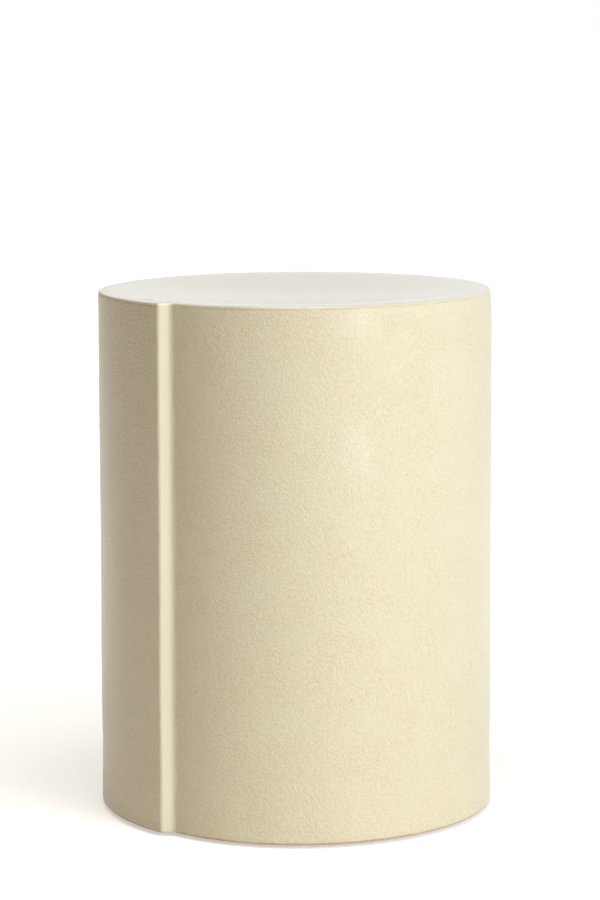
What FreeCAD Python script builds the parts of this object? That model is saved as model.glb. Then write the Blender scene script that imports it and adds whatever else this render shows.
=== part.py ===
"""Slab-built stoneware stool: a rolled wall with a lapped seam, a dished seat and a flanged base.

The stool stands on the XY plane with its axis along Z. Its front is towards -Y, and angles in
plan are counted from the front, positive towards the left.
"""
import FreeCAD, Part
import math
import os

import Sketcher
from FreeCAD import Vector

# Driving sizes in millimetres and degrees

SIZES = [
    ("body_radius", "167.5", "outside of the drum"),
    ("body_height", "440", "foot to rim"),
    ("wall_thickness", "10", "rolled slab"),
    ("rim_radius", "3.2", "sponged outer edge of the rim"),
    ("foot_bevel", "1.5", "wiped outer edge of the foot"),
    ("seam_angle", "38.5", "place of the seam's inner corner, the toe, left of the front"),
    ("seam_step", "6.6", "height of the step at the seam"),
    ("seam_lean", "6.3", "how far the step's bevelled face leans back to the left"),
    ("flap_start", "85", "where the outer end leaves the round"),
    ("flap_lift", "3.5", "how far the outer end stands out at the seam"),
    ("tuck_start", "3", "where the inner end leaves the round"),
    ("nose_radius", "3.8", "rounded outer end of the slab"),
    ("toe_radius", "5", "hollow bead of slip under the nose"),
    ("lap_width", "32", "how far the two ends overlap"),
    ("bevel_radius", "120", "curve of the bevelled faces in the lap"),
    ("slip_thickness", "0.8", "slip in every joint"),
    ("seat_thickness", "12", "seat slab at its middle, under the dish"),
    ("dish_depth", "9", "hollow of the seat at its middle"),
    ("rim_land", "12", "level ring between the drum's edge and the dish"),
    ("coil_width", "5", "coils in the corners of the seat and the base, where they are narrowest"),
    ("coil_height", "8", "the same coils"),
    ("coil_bevel", "4", "smoothed inner edge of those coils"),
    ("seam_coil_radius", "6", "coil in the inner step of the lap"),
    ("base_thickness", "10", "base flange"),
    ("base_opening", "230", "diameter of the vent opening"),
    ("pad_diameter", "25", "felt pads"),
    ("pad_thickness", "3", "felt pads"),
]

PAD_ANGLES = (45, 135, 225, 315)

doc = FreeCAD.newDocument("stool")
sheet = doc.addObject("Spreadsheet::Sheet", "Sizes")
for row, (alias, size, meaning) in enumerate(SIZES, start=1):
    sheet.set(f"A{row}", alias)
    sheet.set(f"B{row}", size)
    sheet.set(f"C{row}", meaning)
    sheet.setAlias(f"B{row}", alias)
doc.recompute()


def named(text):
    """An expression with each size in angle brackets turned into its cell in the sheet."""
    for alias, _, _ in SIZES:
        text = text.replace(f"<{alias}>", f"Sizes.{alias}")
    return text


def measure(expression):
    """The value of an expression, for the places where drawing starts."""
    return float(sheet.evalExpression(expression))


# Sizes that follow from the driving ones, as expressions

# The nose stands out by the lift, and the toe lies the whole step below it.
NOSE_REACH = named("(<body_radius> + <flap_lift>)")
TOE_REACH = named(f"({NOSE_REACH} - <seam_step>)")
NOSE_ANGLE = named("(<seam_angle> + <seam_lean> / <body_radius> * 180 / pi)")
FOOT = named("<pad_thickness>")
BASE_TOP = named("(<pad_thickness> + <base_thickness>)")
RIM = named("(<pad_thickness> + <body_height>)")
SEAT_EDGE = named("(<seat_thickness> + <dish_depth>)")
SEAT_UNDER = named(f"({RIM} - {SEAT_EDGE})")
# Each end of the slab is an arc tangent to the round, with its centre eased off the axis so
# that it passes through the seam's corner.
FLAP_SWING = named(f"(<flap_start> - {NOSE_ANGLE})")
TUCK_SWING = named("(<seam_angle> - <tuck_start>)")
FLAP_EASE = named(
    f"(({NOSE_REACH}^2 - <body_radius>^2) / (2 * (<body_radius> - {NOSE_REACH} * cos({FLAP_SWING}))))"
)
TUCK_EASE = named(
    f"((<body_radius>^2 - {TOE_REACH}^2) / (2 * (<body_radius> - {TOE_REACH} * cos({TUCK_SWING}))))"
)
FLAP_RADIUS = named(f"(<body_radius> + {FLAP_EASE})")
TUCK_RADIUS = named(f"(<body_radius> - {TUCK_EASE})")
# The lap ends further left inside, where the outer end's inner face meets the inner end.
LAP_ANGLE = named("(<seam_angle> + <lap_width> / <body_radius> * 180 / pi)")
LAP_SWING = named(f"(<flap_start> - {LAP_ANGLE})")
LAP_REACH = named(
    f"(sqrt(({FLAP_RADIUS} - <wall_thickness>)^2 - ({FLAP_EASE} * sin({LAP_SWING}))^2)"
    f" - {FLAP_EASE} * cos({LAP_SWING}))"
)
INSIDE = named("<wall_thickness>")
# A slab let into the wall stops a slip's thickness short of it, at its edge and at its step.
LET_IN = named("(<wall_thickness> + <slip_thickness>)")
LET_IN_ANGLE = named(
    f"({LAP_ANGLE} + <slip_thickness> / (<body_radius> - <wall_thickness>) * 180 / pi)"
)
DISH_RADIUS = named("(<body_radius> - <rim_land>)")
# The corner coils are smoothed to a true bore, so they are narrowest at the step's inner end.
STEP_SWING = named(f"({LAP_ANGLE} - <tuck_start>)")
STEP_REACH = named(
    f"({TUCK_EASE} * cos({STEP_SWING})"
    f" + sqrt(({TUCK_RADIUS} - <wall_thickness>)^2 - ({TUCK_EASE} * sin({STEP_SWING}))^2))"
)
COIL_BORE = named(f"({STEP_REACH} - <coil_width>)")
COIL_BEVEL = named("min(<coil_bevel>; 0.9 * <coil_width>; 0.9 * <coil_height>)")
# The bevel runs on past the lap's end by half its length, into the hollow.
BEVEL_ANGLE = named("(<seam_angle> + 1.5 * <lap_width> / <body_radius> * 180 / pi)")
# The bead's part of the joint stops short of where the bead runs out to nothing.
BEAD_ANGLE = named("(<seam_angle> - 0.2 * <toe_radius> / <body_radius> * 180 / pi)")
BEAD_REACH = named(f"({TOE_REACH} + 0.5 * <toe_radius>)")
PAD_CIRCLE = named("((<base_opening> / 2 + <body_radius> - <wall_thickness>) / 2)")
RIM_ROUND = named("min(<rim_radius>; 0.9 * <nose_radius>)")


# Drawing helpers


def polar(radius, angle):
    """A point in plan, by its distance from the axis and its angle left of the front."""
    turn = math.radians(angle)
    return Vector(-radius * math.sin(turn), -radius * math.cos(turn), 0)


def new_body(label, height):
    """An empty body whose own origin stands at a named height on the axis."""
    body = doc.addObject("PartDesign::Body", label)
    body.Label = label
    body.setExpression("Placement.Base.z", named(height))
    return body


def new_sketch(body, name, plane="XY_Plane"):
    sketch = body.newObject("Sketcher::SketchObject", name)
    support = [item for item in body.Origin.OriginFeatures if item.Role == plane]
    sketch.AttachmentSupport = [(support[0], "")]
    sketch.MapMode = "FlatFace"
    return sketch


def bind(sketch, kind, *where, size):
    """Add one dimension to a sketch and tie it to an expression."""
    start = measure(size)
    if kind == "Angle":
        start = math.radians(start)
    index = sketch.addConstraint(Sketcher.Constraint(kind, *where, start))
    sketch.setExpression(f"Constraints[{index}]", size)


def join(sketch, *where, kind="Coincident"):
    sketch.addConstraint(Sketcher.Constraint(kind, *where))


def pin(sketch, curve, end, across, along):
    """Tie one end of a curve to two coordinates, each an expression."""
    bind(sketch, "DistanceX", curve, end, size=across)
    bind(sketch, "DistanceY", curve, end, size=along)


def arc(centre, radius, start, end):
    """An anticlockwise arc between two angles of the plane, in degrees."""
    circle = Part.Circle(centre, Vector(0, 0, 1), radius)
    return Part.ArcOfCircle(circle, math.radians(start), math.radians(end))


def arc_between(centre, start, end, outset=0):
    """An anticlockwise arc about a centre, from one point's direction to another's."""
    first = math.degrees(math.atan2(start.y - centre.y, start.x - centre.x))
    last = math.degrees(math.atan2(end.y - centre.y, end.x - centre.x))
    return arc(centre, (end - centre).Length + outset, first, last)


def add_circle(sketch, diameter):
    """A circle about the sketch's own origin."""
    ring = sketch.addGeometry(Part.Circle(Vector(0, 0, 0), Vector(0, 0, 1), measure(diameter) / 2))
    join(sketch, ring, 3, -1, 1)
    bind(sketch, "Diameter", ring, size=diameter)


def add_ray(sketch, angle):
    """A construction line from the axis, at an angle left of the front."""
    tip = polar(measure(named("<body_radius>")), measure(angle))
    ray = sketch.addGeometry(Part.LineSegment(Vector(0, 0, 0), tip), True)
    join(sketch, ray, 1, -1, 1)
    bind(sketch, "Angle", ray, size=f"-90 - {angle}")
    bind(sketch, "Distance", ray, size=named("<body_radius>"))
    return ray


def add_spiral(sketch, inset, toe_angle, nose_angle):
    """The slab's plan at an inset from its outer face: two eased arcs, the round and a step.

    The flap arc runs from the nose to the round, the round goes by the back to the right, the
    tuck arc comes back from the front to the toe, and the step joins the toe to the nose.
    """
    flap_start = named("<flap_start>")
    tuck_start = named("<tuck_start>")
    flap_centre = polar(-measure(FLAP_EASE), measure(flap_start))
    tuck_centre = polar(measure(TUCK_EASE), measure(tuck_start))
    flap_radius = measure(f"{FLAP_RADIUS} - {inset}")
    tuck_radius = measure(f"{TUCK_RADIUS} - {inset}")
    nose_ray = polar(1, measure(nose_angle))
    toe_ray = polar(1, measure(toe_angle))
    flap_turn = math.degrees(math.asin(flap_centre.cross(nose_ray).z / flap_radius))
    tuck_turn = math.degrees(math.asin(tuck_centre.cross(toe_ray).z / tuck_radius))
    flap_end = -90 - measure(nose_angle) - flap_turn
    tuck_end = -90 - measure(toe_angle) - tuck_turn

    flap = arc(flap_centre, flap_radius, -90 - measure(flap_start), flap_end)
    turn_radius = measure(named(f"<body_radius> - {inset}"))
    turn = arc(Vector(0, 0, 0), turn_radius, -90 - measure(tuck_start), 270 - measure(flap_start))
    tuck = arc(tuck_centre, tuck_radius, tuck_end, -90 - measure(tuck_start))
    flap, turn, tuck = (sketch.addGeometry(curve) for curve in (flap, turn, tuck))
    step = sketch.addGeometry(Part.LineSegment(
        sketch.Geometry[flap].EndPoint, sketch.Geometry[tuck].StartPoint))

    join(sketch, turn, 3, -1, 1)
    bind(sketch, "Radius", turn, size=named(f"<body_radius> - {inset}"))
    join(sketch, flap, 1, turn, 2, kind="Tangent")
    join(sketch, turn, 1, tuck, 2, kind="Tangent")
    join(sketch, turn, 2, add_ray(sketch, flap_start), kind="PointOnObject")
    join(sketch, turn, 1, add_ray(sketch, tuck_start), kind="PointOnObject")
    bind(sketch, "Radius", flap, size=f"{FLAP_RADIUS} - {inset}")
    bind(sketch, "Radius", tuck, size=f"{TUCK_RADIUS} - {inset}")
    join(sketch, flap, 2, step, 1)
    join(sketch, step, 2, tuck, 1)
    join(sketch, step, 1, add_ray(sketch, nose_angle), kind="PointOnObject")
    join(sketch, step, 2, add_ray(sketch, toe_angle), kind="PointOnObject")


def pad(body, sketch, length):
    feature = body.newObject("PartDesign::Pad", f"{sketch.Name}_pad")
    feature.Profile = sketch
    feature.setExpression("Length", length)
    return feature


def round_edges(body, base, edges, name, radius):
    """Fillet the named edges of the body's last feature."""
    feature = body.newObject("PartDesign::Fillet", name)
    feature.Base = (base, edges)
    feature.setExpression("Radius", radius)
    doc.recompute()
    return feature


def bevel_edges(body, base, edges, name, size):
    """Chamfer the named edges of the body's last feature."""
    feature = body.newObject("PartDesign::Chamfer", name)
    feature.Base = (base, edges)
    feature.setExpression("Size", size)


def level_edges(feature, height):
    """The names of a feature's edges that lie at one height."""
    found = []
    for number, edge in enumerate(feature.Shape.Edges, start=1):
        box = edge.BoundBox
        if abs(box.ZMin - height) < 1e-4 and abs(box.ZMax - height) < 1e-4:
            found.append(f"Edge{number}")
    return found


def upright_edges(feature):
    """The names of a feature's upright edges, the one nearest the axis first."""
    found = []
    for number, edge in enumerate(feature.Shape.Edges, start=1):
        box = edge.BoundBox
        if box.XLength < 1e-4 and box.YLength < 1e-4:
            found.append((math.hypot(box.XMin, box.YMin), f"Edge{number}"))
    return [name for _, name in sorted(found)]


def is_round(feature, name, radius):
    """Whether an edge is a full circle of a named radius about the axis."""
    box = feature.Shape.getElement(name).BoundBox
    return abs(box.XMax - measure(radius)) < 1e-3 and abs(box.XMin + measure(radius)) < 1e-3


def add_path(sketch, first, last, corners):
    """Straight sides from one curve's end, by way of pinned corners, to another curve's end.

    Each curve's end is a pair of the curve's number and which end it is.
    """
    ends = {1: "StartPoint", 2: "EndPoint"}
    points = [getattr(sketch.Geometry[first[0]], ends[first[1]])]
    points += [Vector(measure(across), measure(along), 0) for across, along in corners]
    points.append(getattr(sketch.Geometry[last[0]], ends[last[1]]))
    before = first
    for number, (start, end) in enumerate(zip(points[:-1], points[1:])):
        side = sketch.addGeometry(Part.LineSegment(start, end))
        join(sketch, *before, side, 1)
        if number < len(corners):
            pin(sketch, side, 2, *corners[number])
        before = (side, 2)
    join(sketch, *before, *last)


def polar_corner(reach, angle):
    return f"(-{reach} * sin({angle}))", f"(-{reach} * cos({angle}))"


def cut_through(body, sketch, name):
    """Cut a sketch's outline through the whole body."""
    feature = body.newObject("PartDesign::Pocket", name)
    feature.Profile = sketch
    feature.Type = "ThroughAll"
    feature.Midplane = True


def combine(kind, label, base, tool):
    """A piece that two shapes have in common, or the first one without the second."""
    piece = doc.addObject(kind, label)
    piece.Label = label
    piece.Base = base
    piece.Tool = tool
    return piece


def new_roll(label, radius, height, place):
    """An upright cylinder with its foot at three named coordinates."""
    roll = doc.addObject("Part::Cylinder", label)
    roll.Label = label
    roll.setExpression("Radius", radius)
    roll.setExpression("Height", height)
    for axis, expression in zip("xyz", place):
        roll.setExpression(f"Placement.Base.{axis}", expression)
    return roll


# The drum before its lap is split: the slab's plan, raised, rounded and hollowed


def make_drum():
    body = new_body("drum", FOOT)
    outline = new_sketch(body, "drum_plan")
    add_spiral(outline, "0", named("<seam_angle>"), NOSE_ANGLE)
    raised = pad(body, outline, named("<body_height>"))
    doc.recompute()
    nosed = round_edges(body, raised, [upright_edges(raised)[-1]], "nose", named("<nose_radius>"))
    toed = round_edges(body, nosed, [upright_edges(nosed)[0]], "toe", named("<toe_radius>"))
    top = level_edges(toed, measure(named("<body_height>")))
    rimmed = round_edges(body, toed, top, "rim", RIM_ROUND)
    bevel_edges(body, rimmed, level_edges(rimmed, 0), "foot", named("<foot_bevel>"))
    inside = new_sketch(body, "inside_plan")
    add_spiral(inside, INSIDE, LAP_ANGLE, LAP_ANGLE)
    cut_through(body, inside, "inside")
    return body


# The joint in the lap: a bevel from the toe through to the hollow, and the bead under the nose


def make_joint():
    body = new_body("joint", FOOT)
    plan = new_sketch(body, "joint_plan")
    seam_angle = named("<seam_angle>")
    seam_ray = add_ray(plan, seam_angle)
    bead_ray = add_ray(plan, BEAD_ANGLE)
    bevel_ray = add_ray(plan, BEVEL_ANGLE)

    toe = polar(measure(TOE_REACH), measure(seam_angle))
    tuck_centre = polar(measure(TUCK_EASE), measure(named("<tuck_start>")))
    bead_end = polar(measure(TOE_REACH), measure(BEAD_ANGLE))
    under = plan.addGeometry(arc_between(tuck_centre, toe, bead_end))
    bind(plan, "Radius", under, size=TUCK_RADIUS)
    pin(plan, under, 3, *polar_corner(TUCK_EASE, named("<tuck_start>")))
    join(plan, under, 1, seam_ray, kind="PointOnObject")
    join(plan, under, 2, bead_ray, kind="PointOnObject")

    # Both bevelled faces share a centre, on the axis's side of the line from the toe to the lap's end.
    lap_end = polar(measure(LAP_REACH), measure(LAP_ANGLE))
    chord = lap_end - toe
    inward = Vector(-chord.y, chord.x, 0).normalize()
    if inward.dot(toe) > 0:
        inward = -inward
    radius = measure(named("<bevel_radius>"))
    centre = (toe + lap_end) / 2 + inward * math.sqrt(radius ** 2 - (chord.Length / 2) ** 2)
    past = polar(measure(LAP_REACH), measure(BEVEL_ANGLE))
    bevel = plan.addGeometry(arc_between(centre, past, toe))
    skin = plan.addGeometry(arc_between(centre, past, toe, measure(named("<slip_thickness>"))))
    mark = plan.addGeometry(Part.Point(lap_end), True)
    pin(plan, mark, 1, *polar_corner(LAP_REACH, LAP_ANGLE))
    join(plan, bevel, 2, under, 1)
    join(plan, mark, 1, bevel, kind="PointOnObject")
    bind(plan, "Radius", bevel, size=named("<bevel_radius>"))
    join(plan, bevel, 1, bevel_ray, kind="PointOnObject")
    join(plan, skin, 3, bevel, 3)
    bind(plan, "Radius", skin, size=named("(<bevel_radius> + <slip_thickness>)"))
    join(plan, skin, 1, bevel_ray, kind="PointOnObject")
    join(plan, skin, 2, seam_ray, kind="PointOnObject")

    bead = [polar_corner(BEAD_REACH, BEAD_ANGLE), polar_corner(BEAD_REACH, seam_angle)]
    add_path(plan, (under, 2), (skin, 2), bead)
    add_path(plan, (skin, 1), (bevel, 1), [])
    pad(body, plan, named("<body_height>"))
    return body


# Slabs let into the wall: the seat before it is dished, and the base round its vent opening


def make_let_in(label, height, thickness, opening=None):
    body = new_body(label, height)
    plan = new_sketch(body, f"{label}_plan")
    add_spiral(plan, LET_IN, LET_IN_ANGLE, LET_IN_ANGLE)
    if opening:
        add_circle(plan, opening)
    pad(body, plan, thickness)
    return body


# The dish: a ball that dips under the rim by the dish's depth, with its poles out of the way


def make_dish():
    ball = doc.addObject("Part::Sphere", "dish")
    radius = f"(({DISH_RADIUS}^2 + Sizes.dish_depth^2) / (2 * Sizes.dish_depth))"
    ball.setExpression("Radius", radius)
    ball.Placement.Rotation = FreeCAD.Rotation(Vector(1, 0, 0), 90)
    ball.setExpression("Placement.Base.z", f"{RIM} - Sizes.dish_depth + {radius}")
    return ball


# Slip round the edge of a slab that is let into the wall


def make_slip(label, height, thickness):
    body = new_body(label, height)
    plan = new_sketch(body, f"{label}_plan")
    add_spiral(plan, INSIDE, LAP_ANGLE, LAP_ANGLE)
    add_spiral(plan, LET_IN, LET_IN_ANGLE, LET_IN_ANGLE)
    pad(body, plan, thickness)
    return body


# Coils smoothed into the corners: the wall's inside outline, a round bore and one soft edge


def make_coil(label, height, soft_end):
    body = new_body(label, height)
    plan = new_sketch(body, f"{label}_plan")
    add_spiral(plan, INSIDE, LAP_ANGLE, LAP_ANGLE)
    add_circle(plan, f"(2 * {COIL_BORE})")
    ring = pad(body, plan, named("<coil_height>"))
    doc.recompute()
    soft = [name for name in level_edges(ring, soft_end) if is_round(ring, name, COIL_BORE)]
    bevel_edges(body, ring, soft, f"{label}_smoothed", COIL_BEVEL)
    return body


def make_seam_coil():
    """A roll pressed into the inner step of the lap, between the two corner coils."""
    core = new_body("hollow", FOOT)
    plan = new_sketch(core, "hollow_plan")
    add_spiral(plan, INSIDE, LAP_ANGLE, LAP_ANGLE)
    pad(core, plan, named("<body_height>"))
    foot = named(f"({BASE_TOP} + <coil_height>)")
    length = named(f"({SEAT_UNDER} - <coil_height> - {foot})")
    corner = polar_corner(LAP_REACH, LAP_ANGLE)
    roll = new_roll("roll", named("<seam_coil_radius>"), length, (*corner, foot))
    return combine("Part::Common", "seam_coil", core, roll)


def make_pads():
    pads = []
    for number, angle in enumerate(PAD_ANGLES, start=1):
        place = (*polar_corner(PAD_CIRCLE, angle), "0")
        label = f"felt_pad_{number}"
        pads.append(new_roll(label, named("<pad_diameter> / 2"), named("<pad_thickness>"), place))
    return pads


dish = make_dish()
drum = combine("Part::Cut", "dished_drum", make_drum(), dish)
joint = make_joint()
level_seat = make_let_in("level_seat", SEAT_UNDER, SEAT_EDGE)
level_slip = make_slip("level_slip", SEAT_UNDER, SEAT_EDGE)
pieces = [
    combine("Part::Cut", "wall_slab", drum, joint),
    combine("Part::Common", "seam_slip", drum, joint),
    make_seam_coil(),
    combine("Part::Cut", "seat_slab", level_seat, dish),
    combine("Part::Cut", "seat_slip", level_slip, dish),
    make_coil("seat_coil", f"{SEAT_UNDER} - <coil_height>", 0),
    make_let_in("base_slab", FOOT, named("<base_thickness>"), named("<base_opening>")),
    make_slip("base_slip", FOOT, named("<base_thickness>")),
    make_coil("base_coil", BASE_TOP, measure(named("<coil_height>"))),
    *make_pads(),
]
doc.recompute()

# Every object is sound before any file is written

for item in doc.Objects:
    if "Invalid" in item.State or "Error" in item.State:
        raise RuntimeError(f"{item.Label} failed: {item.State}")
for piece in pieces:
    if piece.Shape.isNull() or not piece.Shape.isValid():
        raise RuntimeError(f"{piece.Label} has no sound shape")

os.makedirs("parts", exist_ok=True)
for piece in pieces:
    piece.Shape.exportStep(f"parts/{piece.Label}.step")
    count = len(piece.Shape.Solids)
    print(f"{piece.Label}: {count} solid, {piece.Shape.Volume / 1000:.1f} cm3")
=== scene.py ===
# %% [markdown]
# # A slab-built stoneware stool
#
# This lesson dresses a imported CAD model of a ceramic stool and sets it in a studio. The real
# stool is one rolled slab of clay, lapped over itself at a single upright seam, with a dished
# seat let into its top. It was glazed over the joints and fired as one thing, so the eye meets
# a single satin skin. Only the foot and the inside are bare clay.
#
# The wall and the seat are modelled anew as glazed pieces of the same size, because a potter's
# edges are never as crisp as CAD makes them. The base and the coils inside keep their solids
# and only get a finish.

# %% Load the frame
import math

import bmesh
import bpy
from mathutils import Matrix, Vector, noise


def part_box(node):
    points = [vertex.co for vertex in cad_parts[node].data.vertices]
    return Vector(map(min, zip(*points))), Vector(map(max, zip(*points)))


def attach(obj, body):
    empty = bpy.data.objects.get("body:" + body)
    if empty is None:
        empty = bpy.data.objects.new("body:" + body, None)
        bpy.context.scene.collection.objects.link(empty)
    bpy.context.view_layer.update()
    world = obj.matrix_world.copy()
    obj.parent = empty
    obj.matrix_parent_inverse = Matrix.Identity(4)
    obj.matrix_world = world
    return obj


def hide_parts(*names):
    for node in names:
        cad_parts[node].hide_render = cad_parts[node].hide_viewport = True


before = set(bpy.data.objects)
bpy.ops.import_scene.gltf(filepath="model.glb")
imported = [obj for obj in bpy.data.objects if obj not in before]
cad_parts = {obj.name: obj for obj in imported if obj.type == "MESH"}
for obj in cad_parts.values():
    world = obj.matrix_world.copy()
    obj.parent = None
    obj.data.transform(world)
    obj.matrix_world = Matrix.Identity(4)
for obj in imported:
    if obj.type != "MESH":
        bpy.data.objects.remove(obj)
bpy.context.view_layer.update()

# %% [markdown]
# ## Sizes
#
# The drum stands on felt pads. Its radius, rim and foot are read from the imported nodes, so the
# glazed pieces are as big as the solids. What a box can't tell, such as the place of the seam,
# is written here once: lengths in metres, and angles from the front, positive to the left.
#
# Two of these sizes differ from the CAD on purpose, after the renders were compared with the
# photograph. The seam's step is 8 mm and not 6.6, so that its face turns to the light, and the
# rim is rounded by 2 mm and not 3.2.

# %% Sizes read from the frame
MM = 0.001
wall_low, wall_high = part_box("wall_slab")
FOOT, RIM = wall_low.z, wall_high.z
RADIUS = wall_high.y
SEAT_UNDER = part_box("seat_slab")[0].z
print(f"drum: {2000 * RADIUS:.1f} mm across, {1000 * (RIM - FOOT):.1f} mm high")

# %% Sizes of the rolled slab
WALL = 10 * MM                          # thickness of the slab
TOE = math.radians(38.5)                # the seam's inner corner
FLAP_START = math.radians(85)           # where the outer end leaves the round
TUCK_START = math.radians(3)            # where the inner end leaves it
FLAP_LIFT = 3.5 * MM                    # how far the outer end stands out
SEAM_STEP = 8 * MM                      # from the nose in to the toe
SEAM_LEAN = 6.3 * MM                    # how far the step's face leans back to the left
NOSE_ROUND = 3.8 * MM
TOE_ROUND = 5 * MM
NOSE = TOE + SEAM_LEAN / RADIUS
LAP_WIDTH = 32 * MM
LAP_END = TOE + LAP_WIDTH / RADIUS
INNER_ROUND = 1 * MM                    # both corners of the step inside the wall
RIM_ROUND = 2 * MM
FOOT_ROUND = 1.5 * MM
print(f"seam: {math.degrees(TOE):.1f} to {math.degrees(NOSE):.1f} degrees left of the front")

# %% [markdown]
# ## The plan of the slab
#
# Seen from above, the slab's outline is a round whose two ends miss each other. The outer end,
# the flap, eases outwards and was cut off at a slant, with its edge rounded to a nose. The
# inner end eases inwards and tucks under it, and a hollow bead of slip fills the corner
# between them, the toe.
#
# Every one of these lines is an arc, so one vertex can draw them all: Spin carries it about one
# centre after another. That keeps the mesh even along the wall and fine round the nose, which
# a circle pulled out of shape wouldn't do.

# %% Points and centres in plan
def around(reach, turn, height=0.0):
    """A point by its distance from the axis, its angle left of the front, and its height."""
    return Vector((-reach * math.sin(turn), -reach * math.cos(turn), height))


nose_reach = RADIUS + FLAP_LIFT
toe_reach = nose_reach - SEAM_STEP


def ease(reach, swing):
    """How far an arc's centre moves off the axis, so that the arc ends at another reach."""
    return (reach**2 - RADIUS**2) / (2 * (RADIUS - reach * math.cos(swing)))


flap_ease = ease(nose_reach, FLAP_START - NOSE)
tuck_ease = -ease(toe_reach, TOE - TUCK_START)
flap_centre = around(-flap_ease, FLAP_START)
tuck_centre = around(tuck_ease, TUCK_START)
flap_radius = RADIUS + flap_ease
tuck_radius = RADIUS - tuck_ease
print(f"flap arc {1000 * flap_radius:.1f} mm, tuck arc {1000 * tuck_radius:.1f} mm")

# %% Draw an arc with one vertex
def sweep(mesh, vertex, centre, goal, steps, clockwise=True):
    """Spin a vertex about an upright axis until it stands in the direction of a goal."""
    start, end = vertex.co - centre, goal - centre
    turn = math.atan2(end.y, end.x) - math.atan2(start.y, start.x)
    turn = turn % math.tau - (math.tau if clockwise else 0)
    spun = bmesh.ops.spin(mesh, geom=[vertex], cent=centre, axis=(0, 0, 1), dvec=(0, 0, 0),
                          angle=turn, steps=steps, use_duplicate=False)
    return next(item for item in spun["geom_last"] if isinstance(item, bmesh.types.BMVert))


# %% Find the centre of a rounding in the step
def beside_face(centre, reach, corner, slant, beside):
    """The point that lies a distance behind the step's face and a reach from a centre."""
    behind = Vector((slant.y, -slant.x, 0))
    across = beside - (centre - corner).dot(behind)
    along = (centre - corner).dot(slant) + math.sqrt(reach**2 - across**2)
    return corner + slant * along + behind * beside


# %% Bring a sketch into a mesh
def put_in(mesh, sketch):
    """Add a small bmesh to a larger one, and return the edges that came."""
    before = set(mesh.edges)
    carrier = bpy.data.meshes.new("carrier")
    sketch.to_mesh(carrier)
    sketch.free()
    mesh.from_mesh(carrier)
    bpy.data.meshes.remove(carrier)
    return [edge for edge in mesh.edges if edge not in before]


# %% Draw one hoop of the slab
WELD = 0.01 * MM
OUTSIDE_STEPS = dict(toe=6, nose=9, flap=45, round=278, tuck=36)
INSIDE_STEPS = dict(toe=2, nose=2, flap=34, round=278, tuck=58)


def hoop(mesh, height, steps, inset, toe_corner, nose_corner, toe, nose, shift=0.0):
    """Draw the slab's closed outline at a height in a mesh, and return its edges.

    The step's face runs from the toe's corner to the nose's, and a shift moves it back.
    """
    slant = (nose_corner - toe_corner).normalized()
    behind = Vector((slant.y, -slant.x, 0))
    flap, tuck = flap_radius - inset, tuck_radius - inset
    nose_centre = beside_face(flap_centre, flap - nose, toe_corner, slant, shift + nose)
    toe_centre = beside_face(tuck_centre, tuck + toe, toe_corner, slant, shift - toe)
    start = tuck_centre + (toe_centre - tuck_centre).normalized() * tuck

    sketch = bmesh.new()
    first = bmesh.ops.create_vert(sketch, co=start)["vert"][0]
    tip = sweep(sketch, first, toe_centre, toe_centre + behind, steps["toe"], clockwise=False)
    stepped = bmesh.ops.extrude_vert_indiv(sketch, verts=[tip])["verts"][0]
    stepped.co = nose_centre - behind * nose
    tip = sweep(sketch, stepped, nose_centre, 2 * nose_centre - flap_centre, steps["nose"])
    tip = sweep(sketch, tip, flap_centre, around(RADIUS, FLAP_START), steps["flap"])
    tip = sweep(sketch, tip, Vector(), around(RADIUS, TUCK_START), steps["round"])
    tip = sweep(sketch, tip, tuck_centre, start, steps["tuck"])
    bmesh.ops.remove_doubles(sketch, verts=[first, tip], dist=WELD)
    bmesh.ops.translate(sketch, verts=list(sketch.verts), vec=(0, 0, height))
    return put_in(mesh, sketch)


# %% [markdown]
# ## The wall
#
# The wall is a stack of hoops, as a potter would coil it, but with the height of the drum
# between two of them. Bridging one hoop to the next makes the skin: over the wiped foot, up the
# outside, round the sponged rim, over the top to the wall's inner face and down again. The last
# hoop is bridged to the first, so the shell is closed.
#
# Bridge Edge Loops tells which way two hoops run from the line between their middles. Hoops of
# one height have no such line and come out crossed, so the inner ones are bridged while they
# stand a little off, and are levelled afterwards.

# %% The two kinds of hoop
def outer_hoop(mesh, height, inset):
    """The slab's outline on the outside, drawn in by an inset."""
    return hoop(mesh, height, OUTSIDE_STEPS, inset, around(toe_reach, TOE),
                around(nose_reach, NOSE), TOE_ROUND + inset, NOSE_ROUND - inset, shift=inset)


def inner_hoop(mesh, height):
    """The outline of the wall's inner face."""
    return hoop(mesh, height, INSIDE_STEPS, WALL, around(toe_reach - WALL, LAP_END),
                around(RADIUS, LAP_END), INNER_ROUND, INNER_ROUND)


def level(edges, height):
    """Bring the vertices of some edges to one height."""
    for vertex in {vertex for edge in edges for vertex in edge.verts}:
        vertex.co.z = height


# %% Bridge the wall's hoops
RIM_ROWS = 6
FOOT_ROWS = 3
wall = bmesh.new()
hoops = []
for row in range(FOOT_ROWS + 1):
    turn = math.pi / 2 * row / FOOT_ROWS
    hoops.append(outer_hoop(wall, FOOT + FOOT_ROUND * (1 - math.cos(turn)),
                            FOOT_ROUND * (1 - math.sin(turn))))
for row in range(RIM_ROWS + 1):
    turn = math.pi / 2 * row / RIM_ROWS
    hoops.append(outer_hoop(wall, RIM - RIM_ROUND * (1 - math.sin(turn)),
                            RIM_ROUND * (1 - math.cos(turn))))
inner_top = inner_hoop(wall, RIM - WALL)
inner_foot = inner_hoop(wall, FOOT + WALL)
hoops += [inner_top, inner_foot]
for lower, upper in zip(hoops, hoops[1:] + hoops[:1]):
    bmesh.ops.bridge_loops(wall, edges=lower + upper)
level(inner_top, RIM)
level(inner_foot, FOOT)
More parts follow.
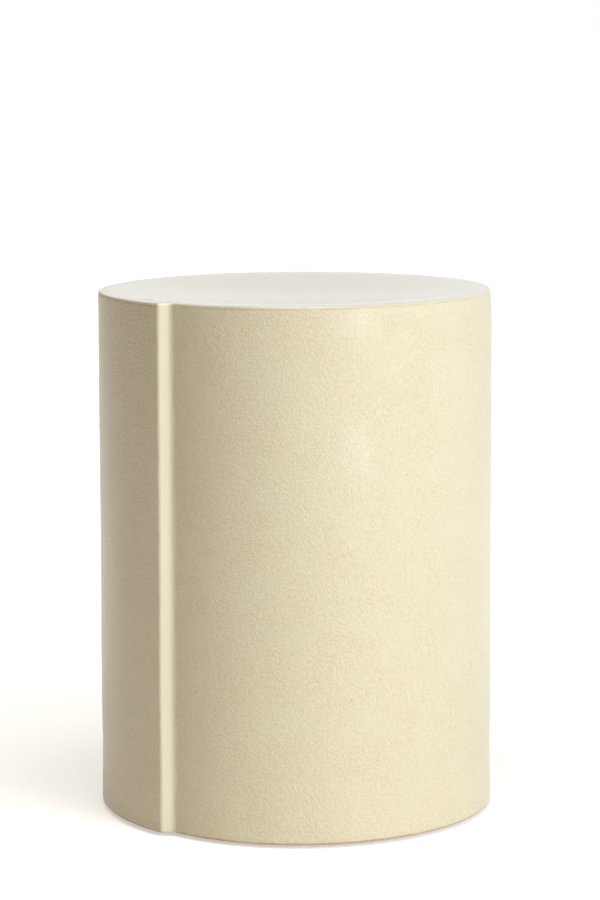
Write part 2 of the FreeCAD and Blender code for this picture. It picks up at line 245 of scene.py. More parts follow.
print("wall:", len(wall.faces), "faces, open edges:", sum(not e.is_manifold for e in wall.edges))

# %% Divide the wall's height into rows
# Only the uprights run all the way from the foot's rounding to the rim's.
WALL_ROWS = 96
low, high = FOOT + FOOT_ROUND, RIM - RIM_ROUND
uprights = [edge for edge in wall.edges
            if min(v.co.z for v in edge.verts) < low + MM
            and abs(max(v.co.z for v in edge.verts) - high) < 0.1 * MM
            and edge.calc_length() > 0.5 * (high - low)]
bmesh.ops.subdivide_edges(wall, edges=uprights, cuts=WALL_ROWS - 1, use_grid_fill=True)
print("wall:", len(wall.faces), "faces after", len(uprights), "uprights were cut")

# %% [markdown]
# ## The seat
#
# The seat is a disc that fills the wall, flush with the rim, and dips a little to its middle.
# A real dish like this is pressed over a mould while the slab is soft. Here a line of vertices
# drawn from the middle outwards is spun once round the axis, and its edge is bridged to the
# outline of the wall's inner face. The line is level where it meets the wall, so that the two
# glazed pieces join smoothly.
#
# One place still has a fault. Behind the lap the wall's inner edge comes further in than the
# edge of the dish, so the bridge between them folds back into the wall there. It shows as two
# thin slivers at the seat's edge. The last cell of this step prints how far it goes.

# %% Spin the dish
DISH_DEPTH = 9 * MM
DISH_EDGE = 155 * MM
DISH_FULLNESS = 1.6
SEAT_RINGS = 26


def dish(reach):
    """How far the seat lies below the rim at a distance from the axis."""
    part = min(reach / DISH_EDGE, 1)
    return DISH_DEPTH * (1 - part**2) ** DISH_FULLNESS


seat = bmesh.new()
bmesh.ops.create_vert(seat, co=(0, 0, RIM - dish(0)))
tip = seat.verts[:][0]
for ring in range(1, SEAT_RINGS + 1):
    reach = DISH_EDGE * ring / SEAT_RINGS
    tip = bmesh.ops.extrude_vert_indiv(seat, verts=[tip])["verts"][0]
    tip.co = around(reach, TUCK_START, RIM - dish(reach))
columns = sum(INSIDE_STEPS.values()) + 1
bmesh.ops.spin(seat, geom=list(seat.edges), cent=(0, 0, 0), axis=(0, 0, -1), dvec=(0, 0, 0),
               angle=math.tau, steps=columns, use_merge=True, use_duplicate=False)
bmesh.ops.remove_doubles(seat, verts=list(seat.verts), dist=WELD)

# %% Bridge the dish to the wall's outline
brim = [edge for edge in seat.edges if edge.is_boundary]
top = inner_hoop(seat, RIM - WALL)
nearest = min(math.hypot(vertex.co.x, vertex.co.y) for edge in top for vertex in edge.verts)
under = inner_hoop(seat, SEAT_UNDER - WALL)
bmesh.ops.bridge_loops(seat, edges=brim + top)
bmesh.ops.bridge_loops(seat, edges=top + under)
level(top, RIM)
level(under, SEAT_UNDER)
bmesh.ops.contextual_create(seat, geom=under)
print("seat:", len(seat.faces), "faces, open edges:", sum(not e.is_manifold for e in seat.edges))
print(f"the dish folds back by {(DISH_EDGE - nearest) / MM:.1f} mm at most, behind the lap")

# %% [markdown]
# ## Hand work
#
# A slab that was rolled, lifted and joined by hand isn't true. The right side of this drum
# leans in, and its rim was sponged softer there. It is slightly waisted above the foot, its
# face waves by a few tenths of a millimetre, and the rim and the seat are 2.4 mm lower on the
# left than on the right.
#
# One function says where a point ends up, and it is asked for every vertex of both pieces, so
# that they still meet. It never moves a point outwards or upwards, because the CAD box is the
# true size. What it moves inwards fades to nothing at the wall's inner face, where the base and
# the coils are fitted.

# %% How far a point gives way
def smooth(value, start, end):
    """0 before start, 1 after end, and an even S between them."""
    part = min(max((value - start) / (end - start), 0), 1)
    return part * part * (3 - 2 * part)


LEAN = 1.7 * MM
SHOULDER = 1.6 * MM
SHOULDER_START, SHOULDER_END = RIM - 30 * MM, RIM + 8 * MM
WAIST, WAIST_TOP = 0.35 * MM, FOOT + 100 * MM
RIM_TILT = 2.4 * MM
TOPMOST = RIM - 24 * MM


def uneven(point, depth, size, shift=Vector()):
    """A wave between 0 and twice a depth, with hills as far apart as a size."""
    return depth * (1 + noise.noise(point / size + shift))


def give(point):
    """Where a point of the drum lies after rolling, joining and sponging."""
    reach = math.hypot(point.x, point.y)
    out = Vector((point.x, point.y, 0)) / max(reach, MM)
    skin_part = smooth(reach, RADIUS - WALL, RADIUS - 0.4 * WALL)
    raised = (point.z - FOOT) / (RIM - FOOT)
    lean = LEAN * raised * max(out.x, 0)
    shoulder = SHOULDER * smooth(point.z, SHOULDER_START, SHOULDER_END) * max(out.x, 0)
    waist = WAIST * (1 - abs(2 * smooth(point.z, FOOT, WAIST_TOP) - 1))
    waves = uneven(point, 0.30 * MM, 95 * MM)
    ripples = uneven(point, 0.10 * MM, 28 * MM, Vector((7, 3, 5)))
    inwards = skin_part * (lean + shoulder + waist + waves + ripples)
    topmost = smooth(point.z, TOPMOST, RIM)
    sunk = uneven(point, 0.35 * MM, 110 * MM, Vector((1, 9, 2)))
    tilt = RIM_TILT / 2 * (1 - point.x / RADIUS)
    return point - out * inwards - Vector((0, 0, topmost * (sunk + tilt)))


for vertex in list(wall.verts) + list(seat.verts):
    vertex.co = give(vertex.co)
widest = max(abs(vertex.co.x) for vertex in wall.verts)
print(f"widest point now {widest / MM:.2f} mm off the axis")

# %% [markdown]
# ## Felt pads
#
# Four pressed felt pads keep the foot off the floor. Each is a punched disc. The punch leaves
# its edge slightly soft, so both rims of the disc get a small bevel.

# %% Punch the pads
PAD_SIDES = 48
PAD_BEVEL = 0.6 * MM
RIM_ANGLE = 1                           # in radians: only the disc's rims bend more sharply


def punch_pad(name):
    """A soft-edged disc in the place of one CAD pad."""
    lowest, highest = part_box(name)
    centre = (lowest + highest) / 2
    radius, thickness = (highest.x - lowest.x) / 2, highest.z - lowest.z
    mesh = bmesh.new()
    bmesh.ops.create_circle(mesh, cap_ends=True, segments=PAD_SIDES, radius=radius)
    bmesh.ops.extrude_face_region(mesh, geom=list(mesh.faces), use_keep_orig=True)
    top_verts = mesh.verts[PAD_SIDES:]
    bmesh.ops.translate(mesh, verts=top_verts, vec=(0, 0, thickness))
    bmesh.ops.recalc_face_normals(mesh, faces=list(mesh.faces))
    rims = [edge for edge in mesh.edges
            if len(edge.link_faces) == 2 and edge.calc_face_angle() > RIM_ANGLE]
    bmesh.ops.bevel(mesh, geom=rims, offset=PAD_BEVEL, offset_type="OFFSET", segments=3,
                    profile=0.5, affect="EDGES", material=-1)
    bmesh.ops.translate(mesh, verts=list(mesh.verts), vec=(centre.x, centre.y, lowest.z))
    return mesh


# %% [markdown]
# ## From mesh to object
#
# Each finished mesh becomes an object at the origin, with its place in its vertices. Its
# normals are recalculated on the closed shell, and edges that are really sharp are marked.

# %% Make objects
SHARP_ANGLE = math.radians(40)


def finish_piece(mesh, name):
    """Turn a closed bmesh into a smooth-shaded object."""
    bmesh.ops.recalc_face_normals(mesh, faces=list(mesh.faces))
    if mesh.calc_volume(signed=True) < 0:
        bmesh.ops.reverse_faces(mesh, faces=list(mesh.faces))
    data = bpy.data.meshes.new(name)
    volume = mesh.calc_volume(signed=True)
    mesh.to_mesh(data)
    mesh.free()
    for face in data.polygons:
        face.use_smooth = True
    data.set_sharp_from_angle(angle=SHARP_ANGLE)
    piece = bpy.data.objects.new(name, data)
    bpy.context.scene.collection.objects.link(piece)
    print(f"{name}: {len(data.polygons)} faces, {volume * 1e6:.0f} cm3")
    return piece


glazed_wall = finish_piece(wall, "glazed_wall")
glazed_seat = finish_piece(seat, "glazed_seat")
pads = [finish_piece(punch_pad(f"felt_pad_{number}"), f"punched_pad_{number}")
        for number in range(1, 5)]

# %% Tie the pieces to the frame
for piece in [glazed_wall, glazed_seat, *pads]:
    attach(piece, "root")
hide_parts("wall_slab", "seam_slip")
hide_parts("seat_slab", "seat_slip")
for number, piece in enumerate(pads, start=1):
    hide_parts(f"felt_pad_{number}")

# %% [markdown]
# ## Tools for finishes
#
# Colours are written as the sRGB hex values that a colour picker shows, and one function turns
# them into the linear values that the shader works in. Another adds a node, with its settings,
# the values of its sockets and its links in one call, and gives back the node.

# %% Colours and nodes
def colour(text):
    """A hex colour as linear RGBA."""
    parts = [int(text[place:place + 2], 16) / 255 for place in (1, 3, 5)]
    return [p / 12.92 if p <= 0.04045 else ((p + 0.055) / 1.055) ** 2.4 for p in parts] + [1]


def add(tree, kind, values={}, links={}, **settings):
    """Add a node: its own settings by name, values and links by the socket's name or number."""
    made = tree.nodes.new(kind)
    for name, setting in settings.items():
        setattr(made, name, setting)
    for socket, value in values.items():
        made.inputs[socket].default_value = value
    for socket, source in links.items():
        tree.links.new(source, made.inputs[socket])
    return made


def new_finish(name):
    """An empty material, and the Principled shader that it ends in."""
    made = bpy.data.materials.new(name)
    made.use_nodes = True
    made.node_tree.nodes.clear()
    shader = add(made.node_tree, "ShaderNodeBsdfPrincipled")
    add(made.node_tree, "ShaderNodeOutputMaterial", links={0: shader.outputs[0]})
    return made, made.node_tree, shader


def grain(size):
    """The scale of a pattern whose grains are this many millimetres across."""
    return 1 / (size * MM)


# %% [markdown]
# ## Satin cream glaze
#
# The glaze is a satin feldspar glaze sprayed on buff stoneware and fired in a gas kiln. Iron in
# the clay bleeds through it as a fine tan speckle, with here and there one darker speck. It has
# the faint orange-peel skin of a stiff glaze that didn't quite flow level, and where it thins,
# along the rim and just above the wiped foot, the clay's tan shows through.
#
# So the colour is built as the kiln builds it: cream glaze, tan grains about two millimetres
# across that come and go in clouds, specks, and two thin lines. All of it reads Object
# coordinates, which are metres, so the grain has its real size on wall and seat alike. Sizes
# handed to grain() are in millimetres.

# %% Tan grains that come and go in clouds
GRAIN_SIZE, CLOUD_SIZE = 1.9, 38
CREAM, TAN = "#ECE4C8", "#CDA670"
glaze, tree, shader = new_finish("satin_cream_glaze")
place = add(tree, "ShaderNodeTexCoord").outputs["Object"]
grains = add(tree, "ShaderNodeTexNoise",
             {"Scale": grain(GRAIN_SIZE), "Detail": 2, "Roughness": 0.6}, {"Vector": place})
clouds = add(tree, "ShaderNodeTexNoise", {"Scale": grain(CLOUD_SIZE), "Detail": 2},
             {"Vector": place})
speckle = add(tree, "ShaderNodeMapRange", {"From Min": 0.35, "From Max": 0.7, "To Max": 0.32},
              {"Value": grains.outputs["Fac"]})
density = add(tree, "ShaderNodeMapRange", {"From Min": 0.35, "From Max": 0.65, "To Min": 0.6},
              {"Value": clouds.outputs["Fac"]})
amount = add(tree, "ShaderNodeMath", links={0: speckle.outputs[0], 1: density.outputs[0]},
             operation="MULTIPLY")
# A colour Mix has its factor at 0, its two colours at 6 and 7, and its result at 2.
MIX_RESULT = 2
speckled = add(tree, "ShaderNodeMix", {6: colour(CREAM), 7: colour(TAN)},
               {0: amount.outputs[0]}, data_type="RGBA")

# %% A few dark specks of iron
SPECK_SPACING = 9
SPECK_SHARE = 0.07                      # of the cells, the part that holds a speck
cells = add(tree, "ShaderNodeTexVoronoi", {"Scale": grain(SPECK_SPACING)}, {"Vector": place})
rare = add(tree, "ShaderNodeSeparateColor", links={0: cells.outputs["Color"]})
near = add(tree, "ShaderNodeMapRange",
           {"From Min": 0.05, "From Max": 0.11, "To Min": 1, "To Max": 0},
           {"Value": cells.outputs["Distance"]})
chosen = add(tree, "ShaderNodeMath", {1: 1 - SPECK_SHARE}, {0: rare.outputs[0]},
             operation="GREATER_THAN")
iron = add(tree, "ShaderNodeMath", links={0: near.outputs[0], 1: chosen.outputs[0]},
           operation="MULTIPLY")
faint = add(tree, "ShaderNodeMath", {1: 0.35}, {0: iron.outputs[0]}, operation="MULTIPLY")
specked = add(tree, "ShaderNodeMix", {7: colour("#8A6136")},
              {0: faint.outputs[0], 6: speckled.outputs[MIX_RESULT]}, data_type="RGBA")

# %% [markdown]
# ### Where the glaze is thin
#
# A thin tan line runs just under the rim and another round the foot. The rim is lower on the
# left, so its line is measured by a height that has the tilt taken out of it. One coarse noise
# breaks up the rim's line and makes the foot's ragged, as glaze that was wiped by hand is.

# %% The wiped foot and the thin rim
WOBBLE_SIZE = 14
FOOT_LINE, FOOT_LINE_TOP = FOOT + 0.1 * MM, FOOT + 1.3 * MM
RIM_LINE_START, RIM_LINE, RIM_LINE_END = RIM - 3.6 * MM, RIM - 2.6 * MM, RIM - 1.6 * MM
axes = add(tree, "ShaderNodeSeparateXYZ", links={0: place})
sagged = add(tree, "ShaderNodeMath", {1: -RIM_TILT / (2 * RADIUS), 2: RIM_TILT / 2},
             {0: axes.outputs["X"]}, operation="MULTIPLY_ADD")
raised = add(tree, "ShaderNodeMath", links={0: axes.outputs["Z"], 1: sagged.outputs[0]},
             operation="ADD")
wobble = add(tree, "ShaderNodeTexNoise", {"Scale": grain(WOBBLE_SIZE), "Detail": 3},
             {"Vector": place})
ragged = add(tree, "ShaderNodeMath", {1: 1.6 * MM, 2: 0}, {0: wobble.outputs["Fac"]},
             operation="MULTIPLY_ADD")
wavy = add(tree, "ShaderNodeMath", links={0: axes.outputs["Z"], 1: ragged.outputs[0]},
           operation="SUBTRACT")
wiped = add(tree, "ShaderNodeMapRange",
            {"From Min": FOOT_LINE, "From Max": FOOT_LINE_TOP, "To Min": 1, "To Max": 0},
            {"Value": wavy.outputs[0]})
rim_near = add(tree, "ShaderNodeMapRange", {"From Min": RIM_LINE_START, "From Max": RIM_LINE},
               {"Value": raised.outputs[0]})
rim_past = add(tree, "ShaderNodeMapRange", {"From Min": RIM_LINE_END, "From Max": RIM_LINE},
               {"Value": raised.outputs[0]})
flat = add(tree, "ShaderNodeVectorMath", {1: (1, 1, 0)}, {0: place}, operation="MULTIPLY")
off_axis = add(tree, "ShaderNodeVectorMath", links={0: flat.outputs[0]}, operation="LENGTH")
on_wall = add(tree, "ShaderNodeMath", {1: RADIUS - 0.6 * WALL}, {0: off_axis.outputs["Value"]},
              operation="GREATER_THAN")
rim_band = add(tree, "ShaderNodeMath", links={0: rim_near.outputs[0], 1: rim_past.outputs[0]},
               operation="MULTIPLY")
rim_line = add(tree, "ShaderNodeMath", links={0: rim_band.outputs[0], 1: on_wall.outputs[0]},
               operation="MULTIPLY")
patchy = add(tree, "ShaderNodeMapRange", {"From Min": 0.3, "From Max": 0.7, "To Max": 0.55},
             {"Value": wobble.outputs["Fac"]})
rim_broken = add(tree, "ShaderNodeMath", links={0: rim_line.outputs[0], 1: patchy.outputs[0]},
                 operation="MULTIPLY")
thin = add(tree, "ShaderNodeMath", links={0: wiped.outputs[0], 1: rim_broken.outputs[0]},
           operation="MAXIMUM")
glazed = add(tree, "ShaderNodeMix", {7: colour("#CBA063")},
             {0: thin.outputs[0], 6: specked.outputs[MIX_RESULT]}, data_type="RGBA")

# %% [markdown]
# ### Where the glaze lay level, and painted light
#
# In the dish and on top of the rim the glaze lay level and pooled: it is smoother and glossier
# there. Its colour is mixed greyer there too, a painted reflection of the white room. The seam's
# step gets a pale band of painted highlight, whose edges wander a little. The seam's mask is an
# angle round the axis, so it is kept to the wall, or it would cross the seat as a wedge.

# %% Where the glaze lay level: gloss, and a painted grey reflection
on_top = add(tree, "ShaderNodeMath", {1: RIM - DISH_DEPTH - 2 * MM}, {0: raised.outputs[0]},
             operation="GREATER_THAN")
off_wall = add(tree, "ShaderNodeMath", {1: RADIUS - 0.8 * WALL}, {0: off_axis.outputs["Value"]},
               operation="LESS_THAN")
in_dish = add(tree, "ShaderNodeMath", links={0: on_top.outputs[0], 1: off_wall.outputs[0]},
              operation="MULTIPLY")
on_rim = add(tree, "ShaderNodeMapRange",
             {"From Min": RIM - 2 * MM, "From Max": RIM - 1.4 * MM},
             {"Value": raised.outputs[0]})
pooled_and_painted_sheen = add(tree, "ShaderNodeMath", links={0: in_dish.outputs[0], 1: on_rim.outputs[0]},
             operation="MAXIMUM")
# Painted reflection: the level top is mixed greyer, for the white room it mirrors at a low
# angle.
painted_top_sheen = add(tree, "ShaderNodeMix", {7: colour("#DAD6C4")},
            {0: pooled_and_painted_sheen.outputs[0], 6: glazed.outputs[MIX_RESULT]}, data_type="RGBA")

# %% A painted highlight on the seam's step
SEAM_BAND_SWING = 6 * MM / RADIUS
SEAM_BAND_MIDDLE = (TOE + NOSE) / 2 - 4 * MM / RADIUS
SEAM_BAND_EDGE, SEAM_BAND_CORE = 7 * MM / RADIUS, 4 * MM / RADIUS
backwards = add(tree, "ShaderNodeVectorMath", {1: (-1, -1, 0)}, {0: place}, operation="MULTIPLY")
turned = add(tree, "ShaderNodeSeparateXYZ", links={0: backwards.outputs[0]})
angle = add(tree, "ShaderNodeMath", links={0: turned.outputs["X"], 1: turned.outputs["Y"]},
            operation="ARCTAN2")
runs = add(tree, "ShaderNodeTexNoise", {"Scale": grain(22), "Detail": 1}, {"Vector": place})
strayed = add(tree, "ShaderNodeMath", {1: SEAM_BAND_SWING, 2: SEAM_BAND_MIDDLE},
              {0: runs.outputs["Fac"]}, operation="MULTIPLY_ADD")
past_seam = add(tree, "ShaderNodeMath", links={0: angle.outputs[0], 1: strayed.outputs[0]},
                operation="SUBTRACT")
off_seam = add(tree, "ShaderNodeMath", links={0: past_seam.outputs[0]}, operation="ABSOLUTE")
near_seam = add(tree, "ShaderNodeMapRange",
                {"From Min": SEAM_BAND_EDGE, "From Max": SEAM_BAND_CORE},
                {"Value": off_seam.outputs[0]}, interpolation_type="SMOOTHSTEP")
in_seam = add(tree, "ShaderNodeMath", links={0: near_seam.outputs[0], 1: on_wall.outputs[0]},
              operation="MULTIPLY")
# Painted highlight: the seam's step is mixed paler, for the light that falls on its face.
painted_seam_highlight = add(tree, "ShaderNodeMix", {7: colour("#F4ECD2")},
             {0: in_seam.outputs[0], 6: painted_top_sheen.outputs[MIX_RESULT]}, data_type="RGBA")
tree.links.new(painted_seam_highlight.outputs[MIX_RESULT], shader.inputs["Base Color"])

# %% [markdown]
# ### Skin and gloss
#
# The orange peel is a fine bump that fades where the glaze flowed out. Two patches on the wall,
# 18 degrees right of the front, came out of the kiln glassy, and sparkle. A clear coat over the
# satin does that, with the same bump.

# %% Orange peel and gloss
PEEL_SIZE, PEEL_DEPTH = 2.1, 0.75 * MM
peel = add(tree, "ShaderNodeTexNoise",
           {"Scale": grain(PEEL_SIZE), "Detail": 3, "Roughness": 0.55}, {"Vector": place})
flowed = add(tree, "ShaderNodeMath", links={0: pooled_and_painted_sheen.outputs[0], 1: in_seam.outputs[0]},
             operation="MAXIMUM")
relief = add(tree, "ShaderNodeMapRange", {"To Min": 1, "To Max": 0.12},
             {"Value": flowed.outputs[0]})
bump = add(tree, "ShaderNodeBump", {"Distance": PEEL_DEPTH},
           {"Height": peel.outputs["Fac"], "Strength": relief.outputs[0]})
satin = add(tree, "ShaderNodeMapRange", {"To Min": 0.24, "To Max": 0.36},
            {"Value": grains.outputs["Fac"]})
gloss = add(tree, "ShaderNodeMapRange", {"To Min": 1, "To Max": 0.5},
            {"Value": pooled_and_painted_sheen.outputs[0]})
roughness = add(tree, "ShaderNodeMath", links={0: satin.outputs[0], 1: gloss.outputs[0]},
                operation="MULTIPLY")
tree.links.new(bump.outputs[0], shader.inputs["Normal"])
tree.links.new(roughness.outputs[0], shader.inputs["Roughness"])

# %% Two glassy patches
PATCH_TURN = math.radians(18)
PATCH_WIDTH = 13 * MM
UPPER_PATCH = dict(rise=428 * MM, half_height=11 * MM)
LOWER_PATCH = dict(rise=320 * MM, half_height=24 * MM)


def glassy_patch(rise, half_height):
    """A mask round a place on the wall, right of the front, at a height above the foot."""
    centre = around(RADIUS, -PATCH_TURN, FOOT + rise)
    offset = add(tree, "ShaderNodeVectorMath", {1: centre}, {0: place}, operation="SUBTRACT")
    share = add(tree, "ShaderNodeVectorMath",
                {1: (1 / PATCH_WIDTH, 1 / PATCH_WIDTH, 1 / half_height)},
                {0: offset.outputs[0]}, operation="MULTIPLY")
    far = add(tree, "ShaderNodeVectorMath", links={0: share.outputs[0]}, operation="LENGTH")
    return add(tree, "ShaderNodeMapRange", {"From Min": 1.5, "From Max": 0.4, "To Max": 0.9},
               {"Value": far.outputs["Value"]}, interpolation_type="SMOOTHSTEP")


upper = glassy_patch(**UPPER_PATCH)
lower = glassy_patch(**LOWER_PATCH)
patches = add(tree, "ShaderNodeMath", links={0: upper.outputs[0], 1: lower.outputs[0]},
              operation="MAXIMUM")
top_glass = add(tree, "ShaderNodeMath", {1: 0.12}, {0: pooled_and_painted_sheen.outputs[0]}, operation="MULTIPLY")
glass = add(tree, "ShaderNodeMath", links={0: top_glass.outputs[0], 1: patches.outputs[0]},
            operation="MAXIMUM")
tree.links.new(glass.outputs[0], shader.inputs["Coat Weight"])
tree.links.new(bump.outputs[0], shader.inputs["Coat Normal"])
shader.inputs["Coat Roughness"].default_value = 0.08
shader.inputs["IOR"].default_value = 1.5
print("glaze:", len(tree.nodes), "nodes")

# %% [markdown]
# ## Bare stoneware
#
# Inside and underneath, the clay was never glazed. It is buff stoneware with grog, ground fired
# clay that keeps a thick slab from cracking: pale and dark grains of about a millimetre in a
# dry, warm body. It has no gloss to speak of.

# %% Buff clay with grog
clay, tree, shader = new_finish("bare_buff_stoneware")
place = add(tree, "ShaderNodeTexCoord").outputs["Object"]
body = add(tree, "ShaderNodeTexNoise", {"Scale": grain(25), "Detail": 4}, {"Vector": place})
grog = add(tree, "ShaderNodeTexVoronoi", {"Scale": grain(1.8)}, {"Vector": place})
shade = add(tree, "ShaderNodeMix", {6: colour("#C7A67B"), 7: colour("#B08B60")},
            {0: body.outputs["Fac"]}, data_type="RGBA")
kind = add(tree, "ShaderNodeSeparateColor", links={0: grog.outputs["Color"]})
pale = add(tree, "ShaderNodeMapRange", {"From Min": 0.7, "From Max": 1, "To Max": 0.5},
           {"Value": kind.outputs[0]})
dark = add(tree, "ShaderNodeMapRange", {"From Min": 0.85, "From Max": 1, "To Max": 0.45},
           {"Value": kind.outputs[1]})
with_pale = add(tree, "ShaderNodeMix", {7: colour("#DCC7A4")},
                {0: pale.outputs[0], 6: shade.outputs[MIX_RESULT]}, data_type="RGBA")
with_dark = add(tree, "ShaderNodeMix", {7: colour("#7A5A3C")},
                {0: dark.outputs[0], 6: with_pale.outputs[MIX_RESULT]}, data_type="RGBA")
gritty = add(tree, "ShaderNodeBump", {"Strength": 0.8, "Distance": 0.25 * MM},
             {"Height": grog.outputs["Distance"]})
tree.links.new(with_dark.outputs[MIX_RESULT], shader.inputs["Base Color"])
tree.links.new(gritty.outputs[0], shader.inputs["Normal"])
shader.inputs["Roughness"].default_value = 0.9
print("clay:", len(tree.nodes), "nodes")

# %% [markdown]
# ## Pressed felt
#
# The pads are punched from grey-brown wool felt. Felt is matted fibre with no weave, so its
# colour is a mottle about a millimetre wide, and loose fibres on it catch light at a
# low angle, which is what sheen is for.

# %% Felt
felt, tree, shader = new_finish("pressed_wool_felt")
place = add(tree, "ShaderNodeTexCoord").outputs["Object"]
fibres = add(tree, "ShaderNodeTexNoise", {"Scale": grain(1.2), "Detail": 5, "Distortion": 1.5},
             {"Vector": place})
wool = add(tree, "ShaderNodeMix", {6: colour("#6F6759"), 7: colour("#A39A88")},
           {0: fibres.outputs["Fac"]}, data_type="RGBA")
nap = add(tree, "ShaderNodeBump", {"Strength": 1, "Distance": 0.3 * MM},
          {"Height": fibres.outputs["Fac"]})
tree.links.new(wool.outputs[MIX_RESULT], shader.inputs["Base Color"])
tree.links.new(nap.outputs[0], shader.inputs["Normal"])
shader.inputs["Roughness"].default_value = 1
shader.inputs["Sheen Weight"].default_value = 0.3
print("felt:", len(tree.nodes), "nodes")

# %% [markdown]
# ## Finishes on their pieces
#
# The glazed pieces carry two finishes. The outside, the rim and the dish are glazed. The faces
# inside the wall and under the seat are bare clay, and so is the flat ring of the foot.

# %% Put the finishes on
GLAZED, BARE = 0, 1
INNER_REACH = RADIUS - 0.75 * WALL
SLOPE, FLAT = 0.5, 0.9                  # how much of a face's normal is upright
for piece in (glazed_wall, glazed_seat):
    piece.data.materials.append(glaze)
    piece.data.materials.append(clay)
for face in glazed_wall.data.polygons:
    middle_reach = math.hypot(face.center.x, face.center.y)
    inside = middle_reach < INNER_REACH and abs(face.normal.z) < SLOPE
    underneath = face.normal.z < -FLAT
    face.material_index = BARE if inside or underneath else GLAZED
for face in glazed_seat.data.polygons:
    face.material_index = GLAZED if face.normal.z > SLOPE else BARE
for piece in pads:
    piece.data.materials.append(felt)
for name in ("base_slab", "base_slip", "base_coil", "seat_coil", "seam_coil"):
    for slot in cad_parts[name].material_slots:
        slot.material = clay
bare = sum(face.material_index == BARE for face in glazed_wall.data.polygons)
print("bare faces on the wall:", bare)

# %% [markdown]
# ## Studio
#
# The photograph is a cut-out on white. Light Path makes the floor and the world look white to
# the camera, while the light that falls on the stool from them stays at a plain level. What
# the stool reflects is set apart from both.
#
# The floor glows half-strength under the stool and fully a metre away, so that it keeps a soft
# contact shadow and has no grey horizon.

# %% Floor
FLOOR_SIZE = 12
GLOW_START, GLOW_END = 0.25, 1.1        # metres from the middle of the floor
floor_mesh = bmesh.new()
bmesh.ops.create_grid(floor_mesh, x_segments=1, y_segments=1, size=FLOOR_SIZE)
floor_data = bpy.data.meshes.new("studio_floor")
floor_mesh.to_mesh(floor_data)
floor_mesh.free()
floor = bpy.data.objects.new("studio_floor", floor_data)
bpy.context.scene.collection.objects.link(floor)

paper, tree, shader = new_finish("white_paper_floor")
output = next(item for item in tree.nodes if item.type == "OUTPUT_MATERIAL")
shader.inputs["Base Color"].default_value = colour("#F2F0EC")
shader.inputs["Roughness"].default_value = 0.9
rays = add(tree, "ShaderNodeLightPath")
seen = add(tree, "ShaderNodeMath", links={0: rays.outputs["Is Camera Ray"],
                                          1: rays.outputs["Is Glossy Ray"]}, operation="MAXIMUM")
seen_through = add(tree, "ShaderNodeMath", links={0: seen.outputs[0],
                                                  1: rays.outputs["Is Transmission Ray"]},
                   operation="MAXIMUM")
spot = add(tree, "ShaderNodeTexCoord").outputs["Object"]
from_middle = add(tree, "ShaderNodeVectorMath", links={0: spot}, operation="LENGTH")
farther = add(tree, "ShaderNodeMapRange",
              {"From Min": GLOW_START, "From Max": GLOW_END, "To Min": 0.5, "To Max": 1},
              {"Value": from_middle.outputs["Value"]}, interpolation_type="SMOOTHSTEP")
lift = add(tree, "ShaderNodeMath", links={0: seen_through.outputs[0], 1: farther.outputs[0]},
           operation="MULTIPLY")
glow = add(tree, "ShaderNodeEmission", {"Color": (1, 1, 1, 1)}, {"Strength": lift.outputs[0]})
lifted = add(tree, "ShaderNodeAddShader", links={0: shader.outputs[0], 1: glow.outputs[0]})
tree.links.new(lifted.outputs[0], output.inputs[0])
floor.data.materials.append(paper)
print("floor:", round(2 * max(corner.co.x for corner in floor_data.vertices)), "m wide")

# %% [markdown]
# ### Room
#
# The room gives a weak, warm light from all sides. In reflections it is white on the right and
# dim on the left, as if a black flag stood there, which keeps the drum's left side dark.

# %% Room
ROOM_LEVEL = 0.165
FLAG_LEVEL = 0.2
FLAG_START, FLAG_END = -0.35, -0.05     # sideways part of the direction, negative to the left
world = bpy.data.worlds.new("white_room")
bpy.context.scene.world = world
world.use_nodes = True
tree = world.node_tree
tree.nodes.clear()
rays = add(tree, "ShaderNodeLightPath")
direct = add(tree, "ShaderNodeMath", links={0: rays.outputs["Is Camera Ray"],
                                            1: rays.outputs["Is Transmission Ray"]},
             operation="MAXIMUM")
direction = add(tree, "ShaderNodeTexCoord").outputs["Generated"]
sideways = add(tree, "ShaderNodeSeparateXYZ", links={0: direction})
flagged = add(tree, "ShaderNodeMapRange",
              {"From Min": FLAG_START, "From Max": FLAG_END, "To Min": FLAG_LEVEL},
              {"Value": sideways.outputs["X"]})
mirrored = add(tree, "ShaderNodeMath", links={0: rays.outputs["Is Glossy Ray"],
                                              1: flagged.outputs[0]}, operation="MULTIPLY")
seen = add(tree, "ShaderNodeMath", links={0: direct.outputs[0], 1: mirrored.outputs[0]},
           operation="MAXIMUM")
strength = add(tree, "ShaderNodeMapRange", {"To Min": ROOM_LEVEL}, {"Value": seen.outputs[0]})
white = add(tree, "ShaderNodeMix", {6: colour("#FFE5BC"), 7: colour("#FFFFFF")},
            {0: seen.outputs[0]}, data_type="RGBA")
room = add(tree, "ShaderNodeBackground", links={"Color": white.outputs[MIX_RESULT],
                                                "Strength": strength.outputs[0]})
add(tree, "ShaderNodeOutputWorld", links={0: room.outputs[0]})
print("room:", len(tree.nodes), "nodes")

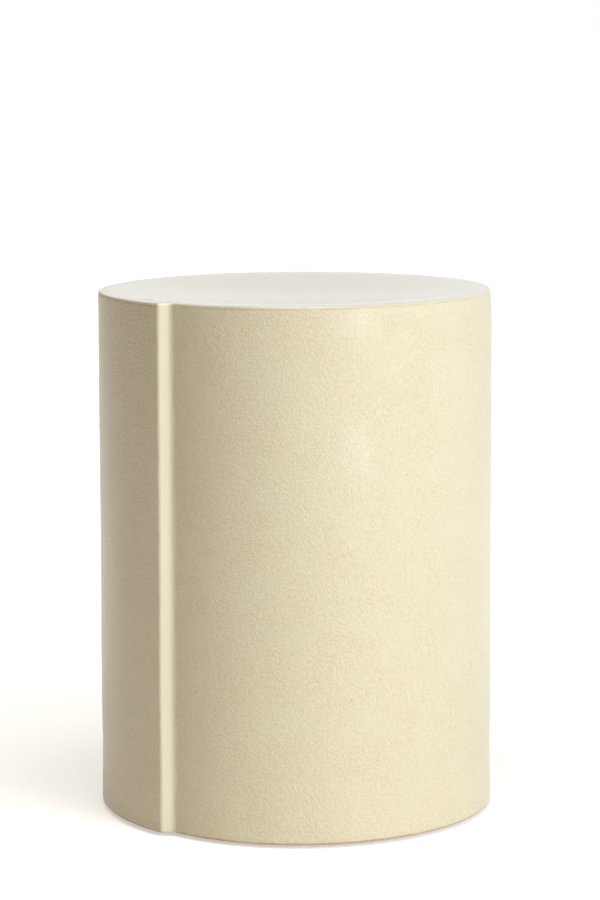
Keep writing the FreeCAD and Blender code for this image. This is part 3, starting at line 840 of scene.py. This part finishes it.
# %% [markdown]
# ### Softboxes
#
# A large key stands to the right of the camera, a small strip light low beside it, a weak blue
# fill at the far right and a large softbox overhead. The key is kept out of reflections,
# because from behind the seat would mirror it as pure white.

# %% Softboxes
LAMP_DISTANCE = 2.4


def softbox(name, turn, rise, width, height, power, tint="#FFFFFF"):
    """An area light that looks at the drum's middle, turned to the right of the front."""
    aim = Vector((0, 0, (FOOT + RIM) / 2))
    turn, rise = math.radians(turn), math.radians(rise)
    away = Vector((math.sin(turn) * math.cos(rise), -math.cos(turn) * math.cos(rise),
                   math.sin(rise)))
    lamp = bpy.data.lights.new(name, "AREA")
    lamp.shape = "RECTANGLE"
    lamp.size, lamp.size_y, lamp.energy = width, height, power
    lamp.color = colour(tint)[:3]
    holder = bpy.data.objects.new(name, lamp)
    holder.location = aim + away * LAMP_DISTANCE
    holder.rotation_euler = away.to_track_quat("Z", "Y").to_euler()
    bpy.context.scene.collection.objects.link(holder)
    print(f"{name}: {power} W")
    return holder


key = softbox("key_softbox", turn=43, rise=18, width=1.1, height=1.0, power=30, tint="#F0FAFF")
key.visible_glossy = False
softbox("strip_softbox", turn=37, rise=-1.7, width=0.2, height=0.3, power=4.5)
softbox("fill_softbox", turn=95, rise=10, width=1.2, height=1.2, power=3, tint="#D0E6FF")
softbox("top_softbox", turn=0, rise=80, width=1.1, height=1.1, power=29)

# %% [markdown]
# ### Camera
#
# The camera was fitted to the ellipses of the rim and the foot in the photograph.

# %% Camera
CAMERA_PLACE = (0, -2.5996, 0.6757)
CAMERA_TILT, CAMERA_YAW = math.radians(-8.153), math.radians(-0.07)
LENS, SENSOR = 123.4, 36                # in millimetres, as the camera takes them
camera = bpy.data.cameras.new("camera")
camera.lens = LENS
camera.sensor_width = SENSOR
camera_holder = bpy.data.objects.new("camera", camera)
camera_holder.location = CAMERA_PLACE
camera_holder.rotation_euler = (math.pi / 2 + CAMERA_TILT, 0, CAMERA_YAW)
bpy.context.scene.collection.objects.link(camera_holder)
bpy.context.scene.camera = camera_holder
bpy.context.scene.view_settings.view_transform = "Standard"
print("camera:", round(camera_holder.location.length, 2), "m from the foot's middle")
